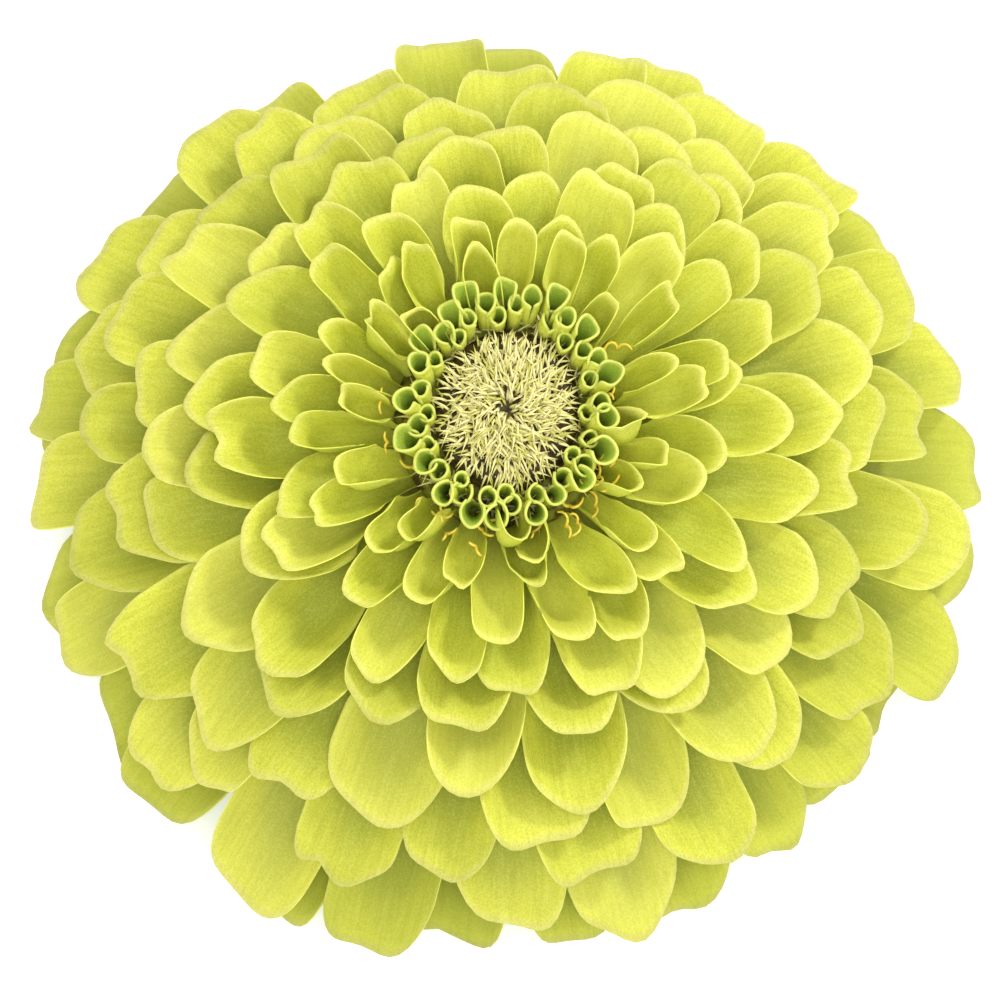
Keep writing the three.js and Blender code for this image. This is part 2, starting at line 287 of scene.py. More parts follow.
def petal_paint(name, foot, blade, tip, edge, young, young_foot):
    material, tree, surface = new_material(name)
    # The foot's green also serves as painted shade, in the hollow and on the lowest petals, and as the
    # dark side of the streaks
    hollow_colour = foot
    place = shader(tree, "TexCoord").outputs["Object"]
    across, along = blade_map(tree)
    from_middle = middle_distance(tree, across)
    age = carried(tree, "age")
    shade = carried(tree, "shade")
    youth = multiply(tree, fade(tree, age, 0.5, 0.0), YOUTH)

    # The green foot, which reaches further up an older petal, partly its own green and partly painted
    # shade under the petals above, and the pale tip, partly its own colour and partly a painted
    # highlight
    grown = calculate(tree, "POWER", age, 0.5)
    foot_ends = ramp(tree, grown, 0.4, 0.82)
    blade_starts = ramp(tree, grown, 0.9, 0.98)
    beside = multiply(tree, calculate(tree, "POWER", from_middle, 2.0), 0.3)
    opened = fade(tree, calculate(tree, "ADD", along, beside), foot_ends, blade_starts)
    # A young petal's foot and blade are painted lighter: partly their own yellower green, partly
    # painted light against the shade near the eye
    foot = blend_colours(tree, youth, foot, young_foot)
    colour = blend_colours(tree, opened, foot, blend_colours(tree, youth, blade, young))
    colour = blend_colours(tree, fade(tree, along, blade_starts, 1.0), colour, tip)

    # The hollow of the blade, darkened with painted shade
    bowl = multiply(tree, fade(tree, from_middle, 0.8, 0.35), fade(tree, along, 1.0, 0.82))
    hollow = multiply(tree, bowl, fade(tree, along, 0.5, 0.72))
    colour = tint(tree, colour, hollow_colour, hollow, ramp(tree, youth, 0.3, 0.18))

    # Stains, veins, brush strokes and grain
    clouds = fade(tree, noise(tree, place, CLOUD_SIZE, 3.0), 0.42, 0.72)
    colour = tint(tree, colour, foot, clouds, CLOUDS)
    own = multiply(tree, shade, SHADE_SPREAD)
    streaks = stretched_noise(tree, across, along, own, VEIN_STRETCH, 3.0)
    ridge = calculate(tree, "ABSOLUTE", calculate(tree, "SUBTRACT", streaks, 0.5))
    veins = fade(tree, ridge, 0.03, 0.0)
    colour = tint(tree, colour, foot, veins, VEINS)
    brush = stretched_noise(tree, across, along, own, BRUSH_STRETCH, 2.0)
    grain = noise(tree, place, GRAIN_SIZE, 2.0)
    for pattern, amount in ((brush, BRUSH), (grain, GRAIN)):
        colour = tint(tree, colour, hollow_colour, fade(tree, pattern, 0.5, 0.64), amount)
        colour = tint(tree, colour, edge, fade(tree, pattern, 0.5, 0.36), PALE_SHARE * amount)

    # The pale line along the margin, partly a paler margin and partly a painted highlight where the
    # edge catches light, measured in millimetres and widest on the youngest petals
    petal_length = ramp(tree, age, 13.0, 47.0)
    half_width = ramp(tree, age, 2.6, 5.8)
    from_tip = multiply(tree, calculate(tree, "SUBTRACT", 1.0, along), petal_length)
    from_side = multiply(tree, calculate(tree, "SUBTRACT", 1.0, from_middle), half_width)
    line_width = ramp(tree, youth, 0.5, 1.0)
    rim_highlight = fade(tree, calculate(tree, "MINIMUM", from_tip, from_side), line_width, 0.12)
    colour = tint(tree, colour, edge, rim_highlight, RIM_HIGHLIGHT)

    # No two petals quite alike, and the lowest ones darker: painted shade where the dome above shades
    # them
    colour = tint(tree, colour, tip, fade(tree, shade, 0.2, 1.0), 0.25)
    colour = tint(tree, colour, foot, fade(tree, shade, -0.2, -1.0), 0.2)
    colour = tint(tree, colour, hollow_colour, fade(tree, age, 0.82, 0.92), LOWEST_SHADE)
    brightness = calculate(tree, "MULTIPLY_ADD", shade, 0.04, 1.0)
    tinted = shader(tree, "HueSaturation", {"Color": colour, "Value": brightness}).outputs[0]

    height = calculate(tree, "MULTIPLY_ADD", veins, -0.6, grain)
    bump = shader(tree, "Bump", {"Height": height, "Strength": 0.35, "Distance": BUMP_DEPTH})
    tree.links.new(tinted, surface.inputs["Base Color"])
    tree.links.new(bump.outputs[0], surface.inputs["Normal"])
    surface.inputs["Roughness"].default_value = 0.6
    surface.inputs["Specular IOR Level"].default_value = 0.2
    return material


PETAL_FOOT = linear(160, 167, 54)
PETAL_BLADE = linear(208, 209, 66)
PETAL_TIP = linear(217, 212, 112)
PETAL_EDGE = linear(231, 231, 122)
# The young petals' colours are partly their own yellower green and partly painted light against the
# shade near the eye
PETAL_YOUNG = linear(228, 232, 84)
YOUNG_FOOT = linear(226, 231, 82)
petal_face = petal_paint(
    "petal_face", PETAL_FOOT, PETAL_BLADE, PETAL_TIP, PETAL_EDGE, PETAL_YOUNG, YOUNG_FOOT
)
petal_back = petal_paint(
    "petal_back", linear(150, 170, 60), linear(196, 206, 88), linear(212, 214, 108), PETAL_EDGE,
    PETAL_YOUNG, YOUNG_FOOT
)
# The rim wall is painted paler than the blade: painted light, so that the thin wall doesn't look shaded
petal_rim = petal_paint("petal_rim", *[linear(228, 232, 96)] * 6)
petal_paints = [petal_face, petal_back, petal_rim]
print("petal paints:", [m.name for m in petal_paints])


# %% [markdown]
# ## The blade
# Petals and rolled florets are one organ at different ages. Each could be sculpted, but there are
# more than two hundred. So each is a flat grid that is bent twice: along a spine that leaves the core
# rising and comes to its tip falling, and across into an arc. A wide arc makes the rolled claw at its
# foot, and a shallow one the open blade. A grid operator makes the faces, with its UV map written
# before it is bent, and a formula moves its corners.

# %% A spine with the directions across it
HANDLE_SHARE = 0.36
CURL_START = 0.7


def spine_frame(plan, along):
    """The spine is a Bezier curve. Returns its point, and the ways across and up out of the blade."""
    a = Vector((plan["root_radius"], 0, plan["root_z"]))
    d = Vector((plan["tip_radius"], 0, plan["tip_z"]))
    span = (plan["tip_radius"] - plan["root_radius"], plan["tip_z"] - plan["root_z"])
    handle = HANDLE_SHARE * math.hypot(*span)
    b = a + handle * Vector((math.cos(plan["rise"]), 0, math.sin(plan["rise"])))
    c = d - handle * Vector((math.cos(plan["fall"]), 0, math.sin(plan["fall"])))
    t, u = along, 1 - along
    centre = a * u**3 + b * 3 * u * u * t + c * 3 * u * t * t + d * t**3
    tangent = ((b - a) * u * u + (c - b) * 2 * u * t + (d - c) * t * t).normalized()
    turn = Matrix.Rotation(plan["twist"] * along, 3, tangent)
    up = turn @ Vector((-tangent.z, 0, tangent.x))
    across = turn @ Vector((0, -1, 0))
    centre += across * plan["sway"] * along * along
    centre += up * plan["curl"] * smooth(CURL_START, 1.0, along)
    return centre, across, up


def blade_outline(along, age):
    """The share of its full width that a blade has. Older petals have narrower claws."""
    claw = mix(0.72, 0.26, smooth(0.0, 0.5, age))
    return claw + (1 - claw) * smooth(0.16, 0.84, along)


# %% [markdown]
# Every corner of the grid has a place across the blade, from -1 to 1, and a place along it, from 0
# to 1. Most bends are small sums on these two numbers. Blunt corners, a wave, a notch and a slant
# shorten the blade at its end. A cup sinks its middle, a lip turns its sides down, ruffles and
# swells make it uneven, and a hem lifts its margin, as a young petal's is lifted. The columns are
# bunched towards the margins, where the outline turns most.

# %% A blade on its spine
END_ROUNDING = 0.96
NOTCH_WIDTH = 0.18
HEM_PULL = 0.07
SUNK_FROM, SUNK_WHOLE = 0.15, 0.5
LIP_FROM, LIP_WHOLE = 0.3, 0.8
HEM_FROM, HEM_WHOLE, HEM_END = 0.3, 0.7, 0.86


def add_blade(bm, plan, columns, rows):
    uv = bm.loops.layers.uv.get("blade") or bm.loops.layers.uv.new("blade")
    age = bm.verts.layers.float.get("age") or bm.verts.layers.float.new("age")
    shade = bm.verts.layers.float.get("shade") or bm.verts.layers.float.new("shade")
    made = bmesh.ops.create_grid(bm, x_segments=columns, y_segments=rows, size=1)["verts"]
    alongs = [(vert.co.y + 1) / 2 for vert in made]
    for vert in made:
        vert.co.x = mix(vert.co.x, math.sin(math.pi / 2 * vert.co.x), plan["bunched"])
        vert[age] = plan["age"]
        vert[shade] = plan["shade"]
        for loop in vert.link_loops:
            loop[uv].uv = ((vert.co.x + 1) / 2, (vert.co.y + 1) / 2)
    number = plan["number"]
    for vert in made:
        side = vert.co.x
        along = (vert.co.y + 1) / 2
        tip = smooth(0.45, 1.0, along)
        corner = plan["blunt"] * (1 - math.sqrt(1 - END_ROUNDING * side * side))
        wave = plan["wave"] * math.sin(side * plan["lobes"] + 2 * draw(number, 31))
        notch = plan["notch"] * math.exp(-(((side - 0.5 * draw(number, 32)) / NOTCH_WIDTH) ** 2))
        shorter = corner + wave + notch + plan["skew"] * side
        centre, across, up = spine_frame(plan, along - shorter * tip)
        open_roll = mix(plan["root_roll"], plan["roll"], smooth(0.05, 0.6, along))
        roll = max(0.02, mix(open_roll, plan["tip_roll"], smooth(0.6, 1.0, along)))
        radius = plan["width"] * plan["outline"](along, plan["age"]) / roll
        spiral = 1 + plan["overlap"] * side
        x = radius * spiral * math.sin(side * roll / 2) * (1 - HEM_PULL * plan["hem"] * side**4)
        arc = radius * (1 - spiral * math.cos(side * roll / 2))
        sunk = plan["sink"] * radius * (1 - math.cos(roll / 2)) * smooth(SUNK_FROM, SUNK_WHOLE, along)
        lip = plan["lip"] * side**4 * smooth(LIP_FROM, LIP_WHOLE, along)
        from_cup = (along - mix(0.68, 0.84, plan["age"])) / mix(0.2, 0.1, plan["age"])
        cup = plan["cup"] * (1 - side * side) ** 2 * math.exp(-from_cup * from_cup)
        phase = 9 * along + 3 * side + 6 * draw(number, 33)
        ruffle = plan["ruffle"] * side * side * tip * math.sin(phase)
        swell = plan["swell"] * tip * math.sin(5 * along + 6 * draw(number, 34))
        at_side = side**4 * smooth(HEM_FROM, HEM_WHOLE, along)
        hem = plan["hem"] * max(at_side, smooth(HEM_END, 1.0, along))
        vert.co = centre + across * x + up * (arc - sunk - lip - cup + ruffle + swell + hem)
        vert.co.z = max(LOWEST_PETAL_Z, vert.co.z)
    bmesh.ops.rotate(bm, cent=(0, 0, 0), matrix=Matrix.Rotation(plan["azimuth"], 3, "Z"), verts=made)
    return made, alongs


# %% [markdown]
# Real petals are pressed together, and none passes through another. A cloth simulation could press
# them, but slowly. Here every new petal gives way to the ones before it, which lie above it.
# A ray from below tells how low each of those hangs over a corner of the new one, and a corner that
# would come through is lowered. What it gives is shared with the corners beside it, so that the blade
# stays one smooth sheet. The claws on the core are left as they are.

# %% Laying a petal under those above it
CLEARANCE = 0.42
DEEPEST_GIVE = -5.0
CLAW_END = 0.12
GIVES_FULLY = 0.4
SHARED_GIVE = 0.85
SHARING_ROUNDS = 5
RAY_START_Z = -60


def shadow_of(made):
    xs = [vert.co.x for vert in made]
    ys = [vert.co.y for vert in made]
    return min(xs), max(xs), min(ys), max(ys)


def lie_under(made, along, petals_above):
    place = {vert: i for i, vert in enumerate(made)}
    beside = [[place[edge.other_vert(vert)] for edge in vert.link_edges] for vert in made]
    give = [0.0] * len(made)
    west, east, south, north = shadow_of(made)
    for blade, (x0, x1, y0, y1) in petals_above:
        if x0 > east or x1 < west or y0 > north or y1 < south:
            continue
        for i, vert in enumerate(made):
            x, y, z = vert.co
            if along[i] < CLAW_END or not (x0 < x < x1 and y0 < y < y1):
                continue
            found = blade.ray_cast(Vector((x, y, RAY_START_Z)), UP)[0]
            if found:
                give[i] = min(give[i], found.z - CLEARANCE - z)
    give = [max(DEEPEST_GIVE, g) * smooth(CLAW_END, GIVES_FULLY, a) for g, a in zip(give, along)]
    wanted = [min([g] + [SHARED_GIVE * give[j] for j in near]) for g, near in zip(give, beside)]
    give = wanted
    for _ in range(SHARING_ROUNDS):
        shared = [sum(give[j] for j in near) / len(near) for near in beside]
        give = [min(w, g) for w, g in zip(wanted, shared)]
    for vert, g in zip(made, give):
        vert.co.z = max(LOWEST_PETAL_Z, vert.co.z + g)
    faces = {face for vert in made for face in vert.link_faces}
    corners = [[place[vert] for vert in face.verts] for face in faces]
    blade = BVHTree.FromPolygons([vert.co for vert in made], corners)
    petals_above.append((blade, shadow_of(made)))
    return min(give)


# %% [markdown]
# ## Ray petals
# The petals are made from the eye outwards. Each stands a golden angle, about 137.5 degrees, further
# round than the one before it, a little further out and a little lower. That is how real ones stand,
# and none is ever straight above another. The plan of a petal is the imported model's, with what its
# plain blades leave out: how far the claw and the blade are rolled, a sideways sway, blunt corners, a
# notch or a wavy end.

# %% Where each petal stands
RAY_COUNT = 184
UNDER_SHARE = 0.17
UNDER_TUCK = 2.4
UNDER_DROP = 11
ROOT_DEPTH = 2.4
INNER_TIP_RADIUS = 17.3
SWELLS = [(2, 0.01, 50), (3, 0.016, 4), (4, 0.007, 59)]
INNERMOST_RAY = {
    "rise": 26, "fall": 30, "width": 6.6, "twist": 9,
    "root_roll": 3.4, "roll": 2.6, "tip_roll": 2.2, "lip": 0.15
}
LOWEST_RAY = {
    "rise": 12, "fall": -60, "width": 13.6, "twist": 7,
    "root_roll": 3.2, "roll": 1.8, "tip_roll": 1.5, "lip": 0.3
}


def petal_plan(number):
    t = number / (RAY_COUNT - 1)
    rim = 1 - UNDER_SHARE
    spread = min(1, t / rim)
    under = max(0, (t - rim) / UNDER_SHARE)
    bend = between(INNERMOST_RAY, LOWEST_RAY, t**0.8)
    blade = between(INNERMOST_RAY, LOWEST_RAY, smooth(0, 0.6, t))
    azimuth = number * GOLDEN_ANGLE + math.radians(mix(7, 3, t)) * draw(number, 1)
    stray = mix(2.0, 0.9, smooth(0.6, 1, spread))
    reach = mix(INNER_TIP_RADIUS, BLOOM_RADIUS, spread) - UNDER_TUCK * under
    tip_radius = min(BLOOM_RADIUS, reach + stray * draw(number, 2))
    tip_z = max(0, crown_z(tip_radius) + 0.5 * draw(number, 3) * (1 - under) - UNDER_DROP * under)
    for lobes, share, toward in SWELLS:
        tip_radius *= 1 + share * math.cos(lobes * (azimuth - math.radians(toward)))
    root_radius = mix(CORE_TOP_RADIUS, CORE_FOOT_RADIUS, t) - ROOT_DEPTH
    width = blade["width"] * (1 + 0.14 * draw(number, 4)) * (1 + 0.14 * under)
    length = tip_radius - root_radius
    unopened = smooth(0.28, 0.0, t + 0.08 * draw(number, 19))
    return {
        "number": number,
        "age": t,
        "shade": draw(number, 6),
        "azimuth": azimuth,
        "root_z": mix(CORE_TOP_Z - 4, CORE_FOOT_Z + 1.5, t),
        "root_radius": root_radius,
        "tip_radius": tip_radius,
        "tip_z": tip_z,
        "rise": math.radians(bend["rise"]),
        "fall": math.radians(bend["fall"]),
        "width": width,
        "twist": math.radians(bend["twist"] + 9 * unopened) * draw(number, 5),
        "root_roll": blade["root_roll"],
        "roll": blade["roll"] * (1 + mix(0.32, 0.4, t) * draw(number, 7)) + 1.6 * unopened,
        "tip_roll": blade["tip_roll"] * (1 + mix(0.3, 0.6, t) * draw(number, 8)) + 1.7 * unopened,
        "lip": blade["lip"] * (1 + 0.6 * draw(number, 9)),
        "sway": -1.6 * draw(number, 10) * min(1, 0.4 + t * 4),
        "curl": 1.7 * (0.6 + 0.8 * draw(number, 15)) * smooth(0.0, 0.5, t) + 0.8 * smooth(0.3, 0.0, t),
        "blunt": mix(0.6, 0.72, t) * (1 + 0.25 * draw(number, 23)) * width / length,
        "skew": 0.13 * draw(number, 22) * width / length,
        "wave": 0.045 * width / length * (0.4 + abs(draw(number, 16))),
        "lobes": 5 + 2 * draw(number, 17),
        "notch": 0.09 * width / length * max(0, draw(number, 18) - 0.3),
        "ruffle": mix(0.35, 0.5, t),
        "swell": mix(0.3, 0.45, t),
        "hem": mix(1.2, 0.35, smooth(0.0, 0.4, t)) * (1 + 0.4 * draw(number, 21)),
        "bunched": 1,
        "overlap": 0,
        "sink": mix(0.2, 0.5, smooth(0.0, 0.35, t)),
        "cup": mix(1.0, 1.2, smooth(0.0, 0.4, t)) * (1 + 0.6 * draw(number, 20)),
        "outline": blade_outline,
    }


# %% [markdown]
# All petals could be one mesh, but three are easier to handle and to look at one by one: the inner,
# middle and outer whorls. Each is a single sheet until the solidify modifier gives it its thickness
# and paints its back and its rim.

# %% Petals, in three pieces from the eye outwards
PETAL_WALL = 0.12
WHORLS = {
    "ray_petals_inner": (0, 60),
    "ray_petals_middle": (60, 122),
    "ray_petals_outer": (122, RAY_COUNT),
}
petals_above = []
for name, (first, last) in WHORLS.items():
    petals = bmesh.new()
    deepest = 0.0
    for number in range(first, last):
        made, along = add_blade(petals, petal_plan(number), columns=18, rows=28)
        deepest = min(deepest, lie_under(made, along, petals_above))
    print(name, "gives way by up to", round(-deepest, 1), "mm")
    finish_piece(petals, name, "ray_petals", petal_paints, wall=PETAL_WALL, far_side=True)

# %% [markdown]
# ## The core
# The petals are rooted on a fleshy core, which is dark between them: its olive and brown are partly
# its own green and partly painted shade in the deep gaps between the claws. It is round, so it could
# be spun from its profile. Here circles of vertices are bridged instead, because the same helper then
# also makes the stem, the hairs and the bent stigmas.

# %% A round piece along a path
def sweep(bm, points, radii, sides):
    points = [Vector(point) for point in points]
    rings = []
    heading = UP
    frame_of_ring = Matrix.Identity(3)
    for i, (point, radius) in enumerate(zip(points, radii)):
        ahead = (points[min(i + 1, len(points) - 1)] - points[max(i - 1, 0)]).normalized()
        frame_of_ring = heading.rotation_difference(ahead).to_matrix() @ frame_of_ring
        heading = ahead
        stand = Matrix.Translation(point) @ frame_of_ring.to_4x4()
        rings.append(bmesh.ops.create_circle(bm, segments=sides, radius=radius, matrix=stand)["verts"])
    loops = [list({edge for vert in ring for edge in vert.link_edges}) for ring in rings]
    faces = []
    for lower, upper in zip(loops, loops[1:]):
        faces += bmesh.ops.bridge_loops(bm, edges=lower + upper)["faces"]
    ends = bmesh.ops.holes_fill(bm, edges=loops[0] + loops[-1], sides=sides)["faces"]
    bmesh.ops.recalc_face_normals(bm, faces=faces + ends)
    return rings, min(ends, key=lambda face: face.calc_center_median().z)


def turned(bm, profile, sides):
    return sweep(bm, [(0, 0, z) for _, z in profile], [radius for radius, _ in profile], sides)


def plain_paint(name, colour, second, grain_mm, roughness=0.6):
    """Two colours in soft patches, for what is small or hidden."""
    material, tree, surface = new_material(name)
    place = shader(tree, "TexCoord").outputs["Object"]
    patches = fade(tree, noise(tree, place, grain_mm, 3.0), 0.35, 0.65)
    tree.links.new(blend_colours(tree, patches, colour, second), surface.inputs["Base Color"])
    surface.inputs["Roughness"].default_value = roughness
    surface.inputs["Specular IOR Level"].default_value = 0.3
    return material


# The core's olive and brown are partly its own colour and partly painted shade for the gaps between the
# claws
core_paint = plain_paint("core", linear(130, 134, 44), linear(70, 58, 20), 1.2)
core = bmesh.new()
CORE_PROFILE = [
    (CORE_FOOT_RADIUS - 0.4, CORE_FOOT_Z + 0.4),
    (CORE_TOP_RADIUS - 0.6, (CORE_FOOT_Z + CORE_TOP_Z) / 2),
    (CORE_TOP_RADIUS + 0.6, CORE_TOP_Z - 1.5),
    (CORE_TOP_RADIUS - 1, CORE_TOP_Z),
    (CHAFF_RADIUS, CORE_TOP_Z + 0.6),
]
turned(core, CORE_PROFILE, 72)
finish_piece(core, "petal_core", "ray_petals", [core_paint])

# %% [markdown]
# ## Rolled florets
# The youngest rays are blades rolled into tubes. They stand round the eye in the order of their age:
# tight and small next to the chaff, wide and half open, like a curled spoon, next to the petals.
# Pipes would be simpler, but each real tube has a seam and an uneven mouth. So the helper of the
# petals makes them too, and rolls the small ones a little past a full turn. Outside they are
# yellow-green, inside a deeper green, and their lips are pale.

# %% Rolled florets
QUILL_COUNT = 50
QUILL_WALL = 0.3
QUILL_RING = (8.3, 13.8)
INNERMOST_QUILL = {"foot": 9.1, "mouth_at": 9.3, "length": 4.1, "mouth": 0.66}
OUTERMOST_QUILL = {"foot": 10.6, "mouth_at": 12.8, "length": 6.6, "mouth": 1.2}
CLOSED_ROLL = 6.7
OPEN_ROLL = 5.2
PUSH_ROUNDS = 120
PUSH_SHARE = 0.3


def tube_outline(along, age):
    """The share of its full width that a tube has, whatever its age."""
    return mix(0.62, 0.88, smooth(0.0, 0.7, along)) + 0.12 * smooth(0.8, 1.0, along)


def quill_size(number):
    size = between(INNERMOST_QUILL, OUTERMOST_QUILL, (number + 0.5) / QUILL_COUNT)
    size["mouth"] += 0.12 * draw(number, 14)
    size["length"] += 0.5 * draw(number, 13)
    return size


def quill_mouths():
    """The mouths start out on a spiral and press one another apart, as far as their ring has room."""
    sizes = [quill_size(number) for number in range(QUILL_COUNT)]
    mouths = []
    for number, size in enumerate(sizes):
        azimuth = number * GOLDEN_ANGLE + math.radians(4) * draw(number, 11)
        mouths.append(size["mouth_at"] * Vector((math.cos(azimuth), math.sin(azimuth))))
    for _ in range(PUSH_ROUNDS):
        for i in range(QUILL_COUNT):
            for j in range(i):
                apart = mouths[i] - mouths[j]
                short = sizes[i]["mouth"] + sizes[j]["mouth"] + QUILL_WALL - apart.length
                if short > 0:
                    push = apart.normalized() * short * PUSH_SHARE
                    mouths[i] += push
                    mouths[j] -= push
            room = sizes[i]["mouth"]
            reach = mouths[i].length
            mouths[i] *= min(QUILL_RING[1] - room, max(QUILL_RING[0] + room, reach)) / reach
    return mouths


def quill_plan(number, at):
    t = (number + 0.5) / QUILL_COUNT
    size = quill_size(number)
    mouth = size["mouth"]
    length = size["length"]
    foot = min(size["foot"], at.length - 0.1)
    lean = math.asin((at.length - foot) / length)
    root_z = PLATE_TOP_Z - 1
    opening = smooth(0.45, 1.0, t + 0.3 * draw(number, 41))
    roll = mix(CLOSED_ROLL, OPEN_ROLL, opening)
    return {
        "number": number,
        "age": 0,
        "shade": draw(number, 42),
        "azimuth": math.atan2(at.y, at.x),
        "root_radius": foot + 0.7 * mouth,
        "root_z": root_z,
        "tip_radius": at.length + mouth,
        "tip_z": root_z + length * math.cos(lean),
        "rise": math.radians(90) - lean * 0.6,
        "fall": math.radians(90) - lean * 1.4,
        "width": mouth * roll,
        "twist": 0.5 * draw(number, 43),
        "root_roll": CLOSED_ROLL,
        "roll": roll,
        "tip_roll": roll - 0.5 * opening,
        "sway": 0.3 * draw(number, 44),
        "curl": 0,
        "blunt": 0.16 + 0.1 * opening,
        "skew": 0,
        "wave": 0.05,
        "lobes": 6,
        "notch": 0,
        "ruffle": 0.12,
        "swell": 0,
        "lip": 0,
        "sink": 0,
        "cup": 0,
        "hem": 0,
        "bunched": 0,
        "overlap": mix(0.12, 0.05, opening) * (1 if draw(number, 45) > 0 else -1),
        "outline": tube_outline,
    }


QUILL_LIP = linear(212, 216, 104)
quill_face = petal_paint(
    "quill_face", linear(136, 164, 46), linear(174, 196, 72), linear(204, 216, 92), QUILL_LIP,
    linear(174, 196, 72), linear(150, 176, 54)
)
quill_back = petal_paint(
    "quill_back", linear(140, 156, 44), linear(190, 204, 64), linear(206, 214, 88), QUILL_LIP,
    PETAL_YOUNG, YOUNG_FOOT
)
quill_rim = petal_paint("quill_rim", *[QUILL_LIP] * 6)
quill_paints = [quill_face, quill_back, quill_rim]
quills = bmesh.new()
for number, at in enumerate(quill_mouths()):
    add_blade(quills, quill_plan(number, at), columns=22, rows=12)
finish_piece(quills, "quills", "quilled_florets", quill_paints, wall=QUILL_WALL,
             far_side=True, shape=EYE_OVAL)

# %% [markdown]
# Between the tubes one looks down on the dark floor of their nest, whose olive and brown are partly
# its own colour and partly painted shade in the deep gaps. So little of it shows that a low turned
# cone will do.

# %% The floor of the nest
NEST_PROFILE = [
    (CORE_TOP_RADIUS - 0.8, CORE_TOP_Z),
    (CORE_TOP_RADIUS - 1.2, CORE_TOP_Z + 0.6),
    (7, PLATE_TOP_Z),
]
# The nest's olive and brown are partly its own colour and partly painted shade
nest_paint = plain_paint("nest", linear(124, 130, 44), linear(74, 62, 20), 0.9)
nest = bmesh.new()
turned(nest, NEST_PROFILE, 72)
finish_piece(nest, "nest_floor", "quilled_florets", [nest_paint], shape=EYE_OVAL)

# %% [markdown]
# ## Chaff
# The eye is a low mound of dry, narrow scales, one beside each floret that hasn't opened. They lean
# away from a small hollow in the middle, cross one another, and are cream, painted darker towards
# their feet: partly their own brown and partly painted shade deep in the mound. Hair particles could
# stand for them, but they would be lost in an export. So each is a small grid of its own, pointed and
# keeled, and the golden angle spreads them evenly.

# %% Chaff on its mound
MOUND_HEIGHT = 3.2
MOUND_DIP = 0.8
CHAFF_COUNT = 1500
CHAFF_REACH = 1.3
CHAFF_WIDTH = 0.27
CHAFF_BEND = 0.9
SCALE_STATIONS = 4


def mound_z(share):
    """The height of the mound at a share of its radius."""
    dome = MOUND_HEIGHT * math.sqrt(max(0, 1 - 0.85 * share * share))
    return PLATE_TOP_Z + dome - MOUND_DIP * smooth(0.25, 0.0, share)


def on_circle(radius, azimuth, z):
    return Vector((radius * math.cos(azimuth), radius * math.sin(azimuth), z))


def add_scale(bm, foot, azimuth, lean, length, width, age, turn):
    uv = bm.loops.layers.uv.get("blade") or bm.loops.layers.uv.new("blade")
    shade = bm.verts.layers.float.get("shade") or bm.verts.layers.float.new("shade")
    made = bmesh.ops.create_grid(bm, x_segments=2, y_segments=SCALE_STATIONS, size=1)["verts"]
    for vert in made:
        vert[shade] = age
        for loop in vert.link_loops:
            loop[uv].uv = ((vert.co.x + 1) / 2, (vert.co.y + 1) / 2)
    for vert in made:
        side, along = vert.co.x, (vert.co.y + 1) / 2
        belly = 0.55 + 0.45 * math.sin(math.pi * min(1, along * 1.3))
        half = width / 2 * belly * (1 - along**3 * 0.85)
        angle = lean + CHAFF_BEND * along
        out = length * along * math.sin(angle)
        high = length * along * math.cos(angle)
        vert.co = Vector((out, -side * half, high + 0.25 * half * abs(side)))
    spin = Matrix.Rotation(azimuth + turn, 4, "Z")
    bmesh.ops.transform(bm, matrix=Matrix.Translation(foot) @ spin, verts=made)


chaff = bmesh.new()
for number in range(CHAFF_COUNT):
    share = math.sqrt((number + 0.5) / CHAFF_COUNT)
    azimuth = number * GOLDEN_ANGLE
    foot = on_circle(share * (CHAFF_RADIUS - CHAFF_REACH), azimuth, mound_z(share) - 0.6)
    lean = mix(0.35, 0.9, share) + 0.45 * draw(number, 51)
    length = 2.2 + 0.7 * draw(number, 52)
    turn = 0.35 + 1.3 * draw(number, 54)
    add_scale(chaff, foot, azimuth, lean, length, CHAFF_WIDTH, draw(number, 53), turn)

# %% [markdown]
# More scales stand loosely among the tubes and hide where they begin. They are the same grids in a
# ring, and go into the same mesh.

# %% Litter among the tubes
LITTER_COUNT = 420
LITTER_RING = (7.4, 10.9)
LITTER_WIDTH = 0.26
for number in range(LITTER_COUNT):
    azimuth = number * GOLDEN_ANGLE + 0.3
    radius = mix(*LITTER_RING, (number + 0.5) / LITTER_COUNT)
    foot = on_circle(radius, azimuth, CORE_TOP_Z + 0.2)
    lean = 0.25 + 0.5 * draw(number, 61)
    length = 2.5 + 0.8 * draw(number, 62)
    add_scale(chaff, foot, azimuth, lean, length, LITTER_WIDTH, draw(number, 63), 2 * draw(number, 64))


# %% [markdown]
# A scale's paint runs from its dark foot to its cream tip, and some scales are greener. The dark foot
# is partly the scale's own brown and partly painted shade. The mound below them is darker still, a
# painted shade which makes the gaps between them look deep.

# %% Chaff paint, and the finished eye
CHAFF_FOOT = linear(84, 68, 22)
CHAFF_CREAM = linear(236, 228, 158)
CHAFF_GREEN = linear(198, 194, 88)


def chaff_colours():
    material, tree, surface = new_material("chaff")
    along = blade_map(tree)[1]
    colour = blend_colours(tree, fade(tree, along, 0.05, 0.45), CHAFF_FOOT, CHAFF_CREAM)
    colour = blend_colours(tree, fade(tree, carried(tree, "shade"), 0.0, 1.0), colour, CHAFF_GREEN)
    tree.links.new(colour, surface.inputs["Base Color"])
    surface.inputs["Roughness"].default_value = 0.6
    surface.inputs["Specular IOR Level"].default_value = 0.3
    return material


finish_piece(chaff, "chaff_scales", "disc_chaff", [chaff_colours()], wall=0.1, shape=EYE_OVAL)
